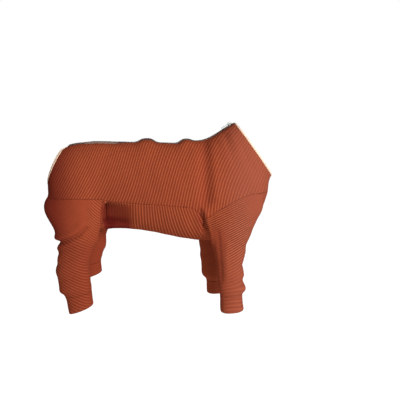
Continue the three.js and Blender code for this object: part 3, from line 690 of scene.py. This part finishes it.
def jersey_material():
    """Stripes, with cloudy and fuzzy changes, then painted sheen and painted shade that follow the photo."""
    n = Nodes("jersey")
    wave = n.math("COSINE", n.math("MULTIPLY", n.attribute("stripe"), 2 * math.pi))
    light = n.ramp(wave, -0.35, 0.9)
    strength = n.attribute("strength")
    fuzz = n.noise(1100.0, 1.0)
    colour = n.mix(strength, linear(128, 55, 35), n.mix(light, linear(86, 27, 17), linear(165, 86, 55)))
    for share, towards in (
        (n.math("MULTIPLY", n.noise(14.0, 3.0), 0.25), (102, 38, 20)),
        (n.math("MULTIPLY", fuzz, 0.3), (143, 69, 42)),
        # a grey painted sheen over the shoulder and the chest
        (n.attribute("painted_light"), (118, 126, 120)),
        # painted shade in the recesses and folds, over the rump and down the hind shanks
        (n.attribute("shade"), (76, 12, 15)),
    ):
        colour = n.mix(share, colour, linear(*towards))
    rib = n.math("MULTIPLY", light, n.math("MULTIPLY_ADD", strength, 0.7, 0.5))
    knit = n.bump(n.noise(420.0, 1.0), 0.0004, 0.5, Normal=n.bump(rib, 0.0006))
    n.surface(Base_Color=colour, Normal=n.bump(fuzz, 0.0002, 0.7, Normal=knit), Roughness=0.7)
    n.surface(Specular_IOR_Level=0.0, Sheen_Weight=0.02, Sheen_Roughness=0.5, Sheen_Tint=linear(225, 150, 120))
    return n.material


def woven(name, dark, light):
    """The nodes of a plain weave between two colours."""
    n = Nodes(name)
    waves = dict(Vector=n.place(), Scale=420.0, Distortion=1.2, Detail=1.0)
    weft = n.add("TexWave", {"bands_direction": "X"}, Detail_Scale=3.0, **waves)
    warp = n.add("TexWave", {"bands_direction": "Y"}, **waves)
    weave = n.math("MULTIPLY", weft.outputs["Fac"], warp.outputs["Fac"])
    colour = n.mix(n.math("MULTIPLY", n.noise(40.0, 3.0), 0.3), n.mix(weave, dark, light), dark)
    n.surface(Base_Color=colour, Normal=n.bump(weave, 0.0003, 0.8), Roughness=0.8)
    n.surface(Specular_IOR_Level=0.1, Sheen_Weight=0.03)
    return n


def tape_material():
    """The woven tape: pale over the rump and dark elsewhere, as in the photo."""
    n = woven("zip_tape", linear(96, 76, 66), linear(158, 138, 128))
    along = n.add("SeparateXYZ", Vector=n.place()).outputs["X"]
    x = n.math("ADD", along, n.math("MULTIPLY", n.noise(60.0, 2.0), 0.012))
    pale = n.math("MULTIPLY", n.ramp(x, -0.135, -0.115), n.ramp(x, -0.03, -0.05))
    dark = n.mix(n.noise(300.0, 2.0), linear(44, 26, 20), linear(84, 56, 44))
    n.surface(Base_Color=n.mix(pale, dark, n.shader.inputs["Base Color"].links[0].from_socket))
    return n.material


def metal_material():
    n = Nodes("zip_metal")
    worn = n.noise(220.0, 4.0)
    n.surface(Base_Color=n.mix(worn, (0.2, 0.22, 0.2, 1), (0.42, 0.45, 0.41, 1)), Metallic=0.9)
    n.surface(Roughness=n.math("MULTIPLY_ADD", worn, 0.2, 0.5), Normal=n.bump(worn, 0.00008, 0.4))
    return n.material


def teeth_material():
    n = Nodes("zip_chain")
    worn = n.noise(500.0, 3.0)
    n.surface(Base_Color=n.mix(worn, linear(52, 28, 20), linear(92, 60, 46)), Normal=n.bump(worn, 0.00008, 0.5))
    n.surface(Roughness=0.55, Specular_IOR_Level=0.2)
    return n.material


def thread_material():
    n = Nodes("rust_thread")
    n.surface(Base_Color=n.mix(n.noise(700.0, 2.0), linear(112, 40, 22), linear(168, 78, 48)), Roughness=0.7)
    n.surface(Normal=n.bump(n.noise(2400.0, 1.0), 0.0001, 0.6))
    return n.material


JERSEY = jersey_material()
CREAM = woven("edging", linear(200, 170, 144), linear(238, 215, 191)).material
TAPE = tape_material()
METAL = metal_material()
TEETH = teeth_material()
THREAD = thread_material()


def piece(name, mesh, material, nodes=(), body="suit"):
    obj = linked(name, mesh)
    mesh.materials.append(material)
    mesh.polygons.foreach_set("use_smooth", [True] * len(mesh.polygons))
    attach(obj, body)
    if nodes:
        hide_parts(*nodes)
    return obj


def thickened(name, points, faces, thickness, values=()):
    """A mesh of a skin, of the same skin a thickness further in, and of the walls between their rims."""
    edges, rim = edges_of(faces)
    count = len(points)
    both = np.concatenate([points, points - normals(points, faces) * thickness])
    a, b = edges[rim].T
    walls = np.concatenate([np.stack([b, a, a + count], 1), np.stack([b, a + count, b + count], 1)])
    mesh = mesh_from(name, both, np.concatenate([faces, faces[:, ::-1] + count, walls]))
    for key, value in values:
        attribute = mesh.attributes.new(key, "FLOAT", "POINT")
        attribute.data.foreach_set("value", np.concatenate([value, value]).astype(np.float32))
    return mesh


# How far the cloth lies below the zip's line: place along the back and depth in metres
ZIP_SINK = [
    (-0.20, 0.0036), (-0.13, 0.0038), (-0.1145, 0.0052), (-0.0514, 0.0052), (-0.0287, 0.003), (-0.0135, 0.002),
    (0.0016, 0.0022), (0.0168, 0.0042), (0.0319, 0.0042), (0.047, 0.0026), (0.0773, 0.0018), (0.0925, 0.0022),
    (0.1076, 0.004), (0.1227, 0.004), (0.1379, 0.0034), (0.153, 0.0018), (0.1681, 0.0022), (0.1833, 0.0034),
]


def zip_sink(points):
    """How far the cloth lies below the skin near the zip."""
    x, y, z = points.T
    return from_table(x, ZIP_SINK) * fall(np.abs(y), 0.034, 0.022) * rise(z, -0.06, 0.02)


def painted_shade(points):
    """How far painted shade darkens the jersey, where the photo is in shadow: in the recess before the thigh, over
    the rump, down the hind shanks, in the fold behind the shoulder, in the armpit and on a band of the front leg."""
    x, y, z = points.T
    along = rise(x, -0.084, 0.008) * (1 - rise(x, -0.024, 0.026))
    down = fall(z, -0.142, 0.014) * rise(z, -0.23, 0.012)
    corner = 0.18 * (1 - rise(x, -0.068, 0.022)) + 0.3 * fall(z, -0.176, 0.012)
    rump = fall(x, -0.115, 0.1) * rise(z, -0.29, 0.09)
    shank = fall(z, -0.2, 0.07) * fall(x, 0.05, 0.05)
    fold = 0.15 * np.exp(-(((x - 0.18) / 0.014) ** 2)) * rise(z, -0.16, 0.02)
    armpit = 0.3 * np.exp(-(((x - 0.166) / 0.011) ** 2) - ((z + 0.178) / 0.032) ** 2)
    band = 0.15 * np.exp(-(((x - 0.207) / 0.013) ** 2)) * fall(z, -0.18, 0.03) * (1 - inner_side(points))
    return np.minimum((0.42 + corner) * along * down + 0.66 * rump + 0.22 * shank + fold + armpit + band, 0.85)


def painted_sheen(points):
    """How far a grey painted sheen lightens the jersey's colour over the shoulder and the chest, as in the photo."""
    return 0.06 * rise(points[:, 0], 0.19, 0.09)


def cloth_piece(name, skin, stripes, nodes):
    """A jersey panel with its edges tucked in at the seams."""
    points, faces = skin
    edges, rim = edges_of(faces)
    on_rim, beside = np.zeros(len(points)), np.zeros(len(points))
    on_rim[edges[rim].ravel()] = 1
    ends = np.concatenate([edges, edges[:, ::-1]])
    beside[ends[(on_rim[ends[:, 0]] > 0) & (on_rim[ends[:, 1]] == 0), 1]] = 1
    inwards = on_rim * SEAM_TUCK - beside * SEAM_SWELL + zip_sink(points)
    moved = points - normals(points, faces) * inwards[:, None]
    phase, strength = stripes(points)
    strength = strength * (1 - 0.35 * on_rim)
    # the last two values are the shares of painted shade and of a painted sheen
    values = [("stripe", phase), ("strength", strength), ("shade", painted_shade(points)), ("painted_light", painted_sheen(points))]
    obj = piece(name, thickened(name, moved, faces, CLOTH, values), JERSEY, nodes)


def lines_on(skin, field):
    """The lines along which a field is zero on a skin, as lists of points; a closed one ends where it starts."""
    points, faces = split(*skin, field)[1]
    on = np.abs(field(points)) < 2e-5
    lines = []
    for loop in rim_loops(faces):
        keep = on[loop]
        if keep.all():
            lines.append(points[loop + loop[:1]])
        elif keep.any():
            start = next(i for i in range(len(loop)) if keep[i] and not keep[i - 1])
            turned, run = loop[start:] + loop[:start], []
            for i in turned + [None]:
                if i is not None and on[i]:
                    run.append(i)
                else:
                    if len(run) > 2:
                        lines.append(points[run])
                    run = []
    return lines


def evenly(line, spacing):
    """The line with points at equal spacing, its small steps smoothed."""
    closed = np.allclose(line[0], line[-1])
    for _ in range(6):
        inner = (line[:-2] + 2 * line[1:-1] + line[2:]) / 4
        line = np.concatenate([line[:1], inner, line[-1:]])
        if closed:
            line[0] = line[-1] = (line[1] + line[0] * 2 + line[-2]) / 4
    along = np.concatenate([[0], np.cumsum(np.linalg.norm(np.diff(line, axis=0), axis=1))])
    at = np.linspace(0, along[-1], max(int(round(along[-1] / spacing)), 4) + 1)
    return np.stack([np.interp(at, along, line[:, k]) for k in range(3)], 1)


def frames_along(line, toward=None):
    """Tangent, surface normal and the direction across, which leans towards a given one, at each of a line's points."""
    closed = np.allclose(line[0], line[-1])
    if closed:
        ring = line[:-1]
        tangent = np.roll(ring, -1, 0) - np.roll(ring, 1, 0)
        tangent = np.concatenate([tangent, tangent[:1]])
    else:
        tangent = np.gradient(line, axis=0)
    tangent = unit(tangent)
    out = np.array([TREE.find_nearest(Vector(p))[1] for p in line])
    for _ in range(8):
        wide = np.concatenate([out[-2:-1], out, out[1:2]]) if closed else np.concatenate([out[:1], out, out[-1:]])
        out = (wide[:-2] + wide[1:-1] * 2 + wide[2:]) / 4
    out = unit(out - tangent * (out * tangent).sum(1, keepdims=True))
    across = np.cross(tangent, out)
    if toward is not None:
        across *= np.sign((across * toward).sum(1, keepdims=True))
    return tangent, out, across


# The folded binding's outline: how far beyond the cut edge and how far out from the cloth, in metres
BINDING = 0.001 * np.array([
    (-1.2, 0.12), (-1.05, 0.62), (0.0, 0.86), (1.2, 0.86), (2.3, 0.62), (3.05, 0.05), (3.35, -0.75),
    (3.05, -1.55), (2.3, -2.15), (1.2, -2.4), (0.0, -2.4), (-2.0, -2.25), (-2.2, -1.7),
    (0.6, -1.66), (1.2, -1.5), (1.6, -0.8), (1.2, -0.1), (0.6, 0.06),
])


def binding(name, plane, outward, nodes, wide, gap):
    """The elastic binding folded round a cut edge of the skin, open at the zip if there is a gap."""
    outline = BINDING * (wide, 1)
    line = evenly(max(lines_on(WHOLE, plane), key=len), 0.002)
    if gap:
        ring = np.roll(line[:-1], -np.argmax(line[:-1, 2]), 0)
        line = ring[(np.abs(ring[:, 1]) > ZIP_HALF_GAP) | (ring[:, 2] < 0)]
    _, out, across = frames_along(line, outward)
    line = line - out * zip_sink(line)[:, None]
    rings = line[:, None] + across[:, None] * outline[:, :1] + out[:, None] * outline[:, 1:]
    puckers = 0.15 * np.sin(np.arange(len(line)) * 2.1) * np.sin(np.arange(len(line)) * 0.63 + 1)
    rings = rings + out[:, None] * puckers[:, None, None] * np.maximum(outline[:, 1:], 0)
    mesh = mesh_from(name, *(tube(rings) if gap else tube(rings[:-1], closed=True)))
    obj = piece(name, mesh, CREAM, nodes)
    row = line - across * 0.0004 + out * 0.0008
    stitches(name + "_stitches", [row], BINDING_STITCH)


# Sections of a stitch and of a tooth: share of its length, share of its thickness
STITCH = ((-0.5, 0.45), (-0.36, 0.9), (0.0, 1.0), (0.36, 0.9), (0.5, 0.45))
TOOTH = ((-0.5, 0.55), (-0.42, 0.95), (0.0, 1.0), (0.42, 0.95), (0.5, 0.5))


def stitches(name, lines, sizes):
    """Rows of short raised stitches, one capsule each."""
    pitch, length, radius = sizes
    ring = superellipse(6)[0].T
    parts = []
    for line in lines:
        line = evenly(line, pitch)
        for p, t, o, c in zip(line[:-1], *frames_along(line)):
            section = c * ring[:, :1] + o * ring[:, 1:]
            parts.append(tube(np.array([p + t * length * share + section * radius * wide for share, wide in STITCH])))
    piece(name, mesh_from(name, *together(parts)), THREAD)


# The skin of the whole suit, then its panels


skin = remeshed([body_tube()] + [leg_tube(leg) for leg in LEGS.values()])
skin = smoothed(*skin, 12), skin[1]
skin = creased(*skin), skin[1]
skin = smoothed(*skin, 2), skin[1]
_, skin = split(*skin, lambda p: neck_field(p) - EDGE_MARGIN)
_, skin = split(*skin, lambda p: tail_field(p) - EDGE_MARGIN)
WHOLE = skin
TREE = BVHTree.FromPolygons(WHOLE[0].tolist(), WHOLE[1].tolist())

_, skin = split(*skin, neck_field)
_, skin = split(*skin, tail_field)
for leg in LEGS.values():
    hem, near = leg_plane(leg, leg["hem"]), sleeve_field(leg)
    _, skin = split(*skin, lambda p: np.where(near(p) > 0, hem(p), -1.0))

upper, lower = split(*skin, lambda p: p[:, 2] - seam_height(p[:, 0]))


def half_gap(p):
    return np.where(p[:, 2] > ZIP_FOOT, ZIP_HALF_GAP, 0.0)


left, _ = split(*upper, lambda p: p[:, 1] - half_gap(p))
_, right = split(*upper, lambda p: p[:, 1] + half_gap(p))
cloth_piece("back_right", right, back_stripes, ["back_panel_right"])
cloth_piece("back_left", left, back_stripes, ["back_panel_left"])
for name, leg in LEGS.items():
    sleeve, lower = split(*lower, sleeve_field(leg))
    cuff, sleeve = split(*sleeve, leg_plane(leg, 1 - CUFF_HEIGHT / leg["drop"]))
    stripes = (hind_stripes if leg["end"] < 0 else front_stripes)(leg)
    cloth_piece(name + "_sleeve_cloth", sleeve, stripes, [name + "_sleeve"])
    cloth_piece(name + "_cuff_cloth", cuff, stripes, [name + "_cuff"])
    rows = [
        line for above in HEM_ROWS for line in lines_on(cuff, lambda p: leg_plane(leg, leg["hem"])(p) + above)
    ]
    stitches(name + "_hem_stitches", rows, HEM_STITCH)
cloth_piece("belly", lower, belly_stripes, ["belly_panel"])

binding("neck_binding", neck_field, NECK_NORMAL, ["neck_edging"], 1, True)
binding("tail_binding", tail_field, TAIL_NORMAL, ["tail_edging"], 1.9, False)


# The zip: tapes, teeth, slider and pull


strip = split(*WHOLE, lambda p: np.minimum(TAPE_WIDTH - np.abs(p[:, 1]), p[:, 2] + 0.03))[0]
_, strip = split(*strip, neck_field)
_, strip = split(*strip, tail_field)
for name, side in (("right", -1), ("left", 1)):
    points, faces = split(*strip, lambda p: side * p[:, 1] - 0.0002)[0]
    depth = 0.0019 + 0.0040 * rise(np.abs(points[:, 1]), 0.0052, 0.0026)
    mesh = thickened("tape_" + name, points - normals(points, faces) * depth[:, None], faces, 0.0008)
    obj = piece("tape_" + name, mesh, TAPE, ["zip_tape_" + name])

middle = evenly(max(lines_on(strip, lambda p: p[:, 1]), key=len), 0.0005)
middle = middle if middle[0, 0] < middle[-1, 0] else middle[::-1]


def teeth(line):
    """Two rows of closed coil teeth that mesh along the line."""
    tangent, out, across = frames_along(line, np.array([0, 1, 0]))
    step = np.linalg.norm(np.diff(line, axis=0), axis=1).mean()
    pitch = int(round(TOOTH_PITCH / step))
    ring = superellipse(8)[0].T
    parts = []
    for side in (-1, 1):
        for i in range(pitch + (pitch // 2 if side > 0 else 0), len(line) - pitch, pitch):
            base = line[i] - out[i] * 0.0009 + across[i] * side * 0.0004
            section = tangent[i] * ring[:, :1] * 0.00062 + out[i] * ring[:, 1:] * 0.00095
            parts.append(tube(np.array([
                base + across[i] * side * (0.0009 + share * 0.0031) + section * wide for share, wide in TOOTH
            ])))
    return together(parts)


piece("teeth", mesh_from("teeth", *teeth(middle[4:-4])), TEETH, ["zip_chain"])
rows = []
for side in (-1, 1):
    for line in lines_on(upper, lambda p: side * p[:, 1] - ZIP_HALF_GAP - 0.0022):
        line = line[line[:, 2] > -0.03]
        if len(line) > 20:
            line = evenly(line[np.argsort(line[:, 0])], 0.002)
            rows.append(line - frames_along(line)[1] * (zip_sink(line) - 0.0001)[:, None])
stitches("zip_stitches", rows, HEM_STITCH)


# The slider's own frame: where it sits on the teeth, the direction along the zip towards the collar, and out
SLIDER_POINT = np.array([0.237629, 0, 0.0489256])
ALONG_ZIP, OUT_OF_ZIP = np.array([0.8445, 0, 0.5356]), np.array([-0.5356, 0, 0.8445])
PULL_AXIS_HEIGHT = 0.0027485


def plate(loops, levels):
    """Points and faces of a plate through flat loops, the first one its outline and the others holes: for each of
    the levels, its height and how far the loops are drawn in."""
    points, faces, count = [], [], 0
    for height, inset in levels:
        for loop in loops:
            before, after = np.roll(loop, 1, 0), np.roll(loop, -1, 0)
            tangent = unit(after - before)
            moved = loop + np.stack([-tangent[:, 1], tangent[:, 0]], 1) * inset
            points.append(np.column_stack([moved, np.full(len(loop), height)]))
    total = sum(len(loop) for loop in loops)
    for level in range(len(levels) - 1):
        start = level * total
        for loop in loops:
            i = np.arange(len(loop))
            a, b = start + i, start + (i + 1) % len(loop)
            faces += [np.stack([a, b, b + total], 1), np.stack([a, b + total, a + total], 1)]
            start += len(loop)
    cap = np.array(tessellate_polygon([[Vector((x, y, 0)) for x, y in loop] for loop in loops]))
    turn = crosses(np.concatenate(loops), cap)
    cap = np.where((turn > 0)[:, None], cap, cap[:, ::-1])
    faces += [cap[:, ::-1], cap + (len(levels) - 1) * total]
    return np.concatenate(points), np.concatenate(faces)


def rounded(length, width, radius, taper=1.0, steps=6):
    """A rounded outline centred on the origin, its width at the low end times taper."""
    loop = []
    for cx, cy, start in ((1, 1, 0), (-1, 1, 90), (-1, -1, 180), (1, -1, 270)):
        for k in range(steps + 1):
            angle = math.radians(start + 90 * k / steps)
            x = cx * (length / 2 - radius) + radius * math.cos(angle)
            y = cy * (width / 2 - radius) + radius * math.sin(angle)
            loop.append((x, y * (1 + (taper - 1) * (0.5 - x / length))))
    return np.array(loop)

def metal_piece(name, parts, lift, body):
    """Parts given in the slider's frame, in millimetres, as one bevelled metal piece."""
    points, faces = together(parts)
    points = points / 1000 + np.array([0, 0, lift])
    across = np.array([0.0, 1.0, 0.0])
    placed = SLIDER_POINT + points[:, :1] * ALONG_ZIP + points[:, 1:2] * across + points[:, 2:] * OUT_OF_ZIP
    obj = piece(name, mesh_from(name, placed, faces), METAL, ["zip_" + name], body)
    obj.data.set_sharp_from_angle(angle=math.radians(50))


def slider_parts():
    """The upper and the lower plate, the side rails and the bridge over the pull's axis."""
    outline = rounded(11, 8.8, 2.4, 0.72)
    parts = [plate([outline], [(0.3, 0.3), (0.5, 0), (1.2, 0), (1.5, 0.35)])]
    parts.append(plate([outline], [(-3.5, 0.35), (-3.2, 0), (-2.7, 0), (-2.5, 0.3)]))
    for side in (-1, 1):
        rail = rounded(7.6, 0.9, 0.3) + np.array([0.2, side * 3.75])
        parts.append(plate([rail], [(-2.6, 0.1), (-2.5, 0), (0.4, 0), (0.5, 0.1)]))
    half = [(-3.7, 1.2), (-3.9, 2.4), (-3.5, 3.9), (-1.9, 4.75)]
    path = curve(half + [(0, 4.85)] + [(-x, z) for x, z in half[::-1]], 5)
    tangent = unit(np.gradient(path, axis=0))
    a, b = superellipse(16, 0.6)[0] * np.array([[1.1], [0.5]])
    x = path[:, :1] + tangent[:, 1:] * b
    z = path[:, 1:] - tangent[:, :1] * b
    parts.append(tube(np.stack([x, np.broadcast_to(a, x.shape), z], -1)))
    return parts


def pull_parts():
    outline = rounded(24, 6.4, 2.1, 1.12) + np.array([-11.4, 0])
    window = (rounded(4.6, 3, 0.5) + np.array([-2.9, 0]))[::-1]
    ridge = rounded(9, 3.4, 1.5) + np.array([-14.5, 0])
    return [
        plate([outline, window], [(-0.6, 0.25), (-0.4, 0), (0.4, 0), (0.6, 0.25)]),
        plate([ridge], [(0.5, 0), (0.75, 0.1), (0.85, 0.5)]),
    ]


metal_piece("slider", slider_parts(), 0, "suit")
metal_piece("pull", pull_parts(), PULL_AXIS_HEIGHT, "pull")


# Camera, light and floor


camera = linked("camera", bpy.data.cameras.new("camera"))
camera.location = (0.1631, -1.1325, 0.0547)
camera.rotation_euler = (math.radians(80), 0, 0)
camera.data.lens = 39.81
camera.data.sensor_width = 36
camera.data.clip_end = 50
bpy.context.scene.camera = camera

for name, place, target, size, power in (
    ("key", (1.3, -1.85, 0.72), (0.05, 0, -0.15), 1.0, 85),
    ("top", (0.3, -0.3, 1.9), (0.05, 0, -0.1), 1.2, 8),
):
    light = linked(name, bpy.data.lights.new(name, "AREA"))
    light.data.size = size
    light.data.energy = power
    light.location = place
    light.rotation_euler = (Vector(target) - Vector(place)).to_track_quat("-Z", "Y").to_euler()

# The world is bright only behind the suit, as seen from the front
world = bpy.data.worlds.new("world")
bpy.context.scene.world = world
world.use_nodes = True
sky = world.node_tree
direction = sky.nodes.new("ShaderNodeSeparateXYZ")
sky.links.new(sky.nodes.new("ShaderNodeTexCoord").outputs["Generated"], direction.inputs[0])
band = sky.nodes.new("ShaderNodeMapRange")
band.interpolation_type = "SMOOTHSTEP"
for socket, value in zip(band.inputs[1:5], (0.55, 0.85, 0.22, 1.0)):
    socket.default_value = value
sky.links.new(direction.outputs["Y"], band.inputs["Value"])
sky.links.new(band.outputs[0], sky.nodes["Background"].inputs["Strength"])
sky.nodes["Background"].inputs["Color"].default_value = (1, 1, 1, 1)
bpy.context.scene.view_settings.view_transform = "Standard"

ground = Nodes("floor")
ground.surface(Base_Color=(0.12, 0.12, 0.12, 1), Roughness=0.95, Specular_IOR_Level=0.0, Emission_Color=(1, 1, 1, 1))
place = ground.add("SeparateXYZ", Vector=ground.place())
glow = ground.ramp(place.outputs["Y"], -1.1, -0.36)
ground.surface(Emission_Strength=ground.math("MAXIMUM", glow, 0.4))
FLOOR_HALF, FLOOR_HEIGHT = 6, -0.5
corners = [(x * FLOOR_HALF, y * FLOOR_HALF, FLOOR_HEIGHT) for x, y in ((-1, -1), (1, -1), (1, 1), (-1, 1))]
floor = linked("floor", mesh_from("floor", corners, [(0, 1, 2, 3)]))
floor.data.materials.append(ground.material)
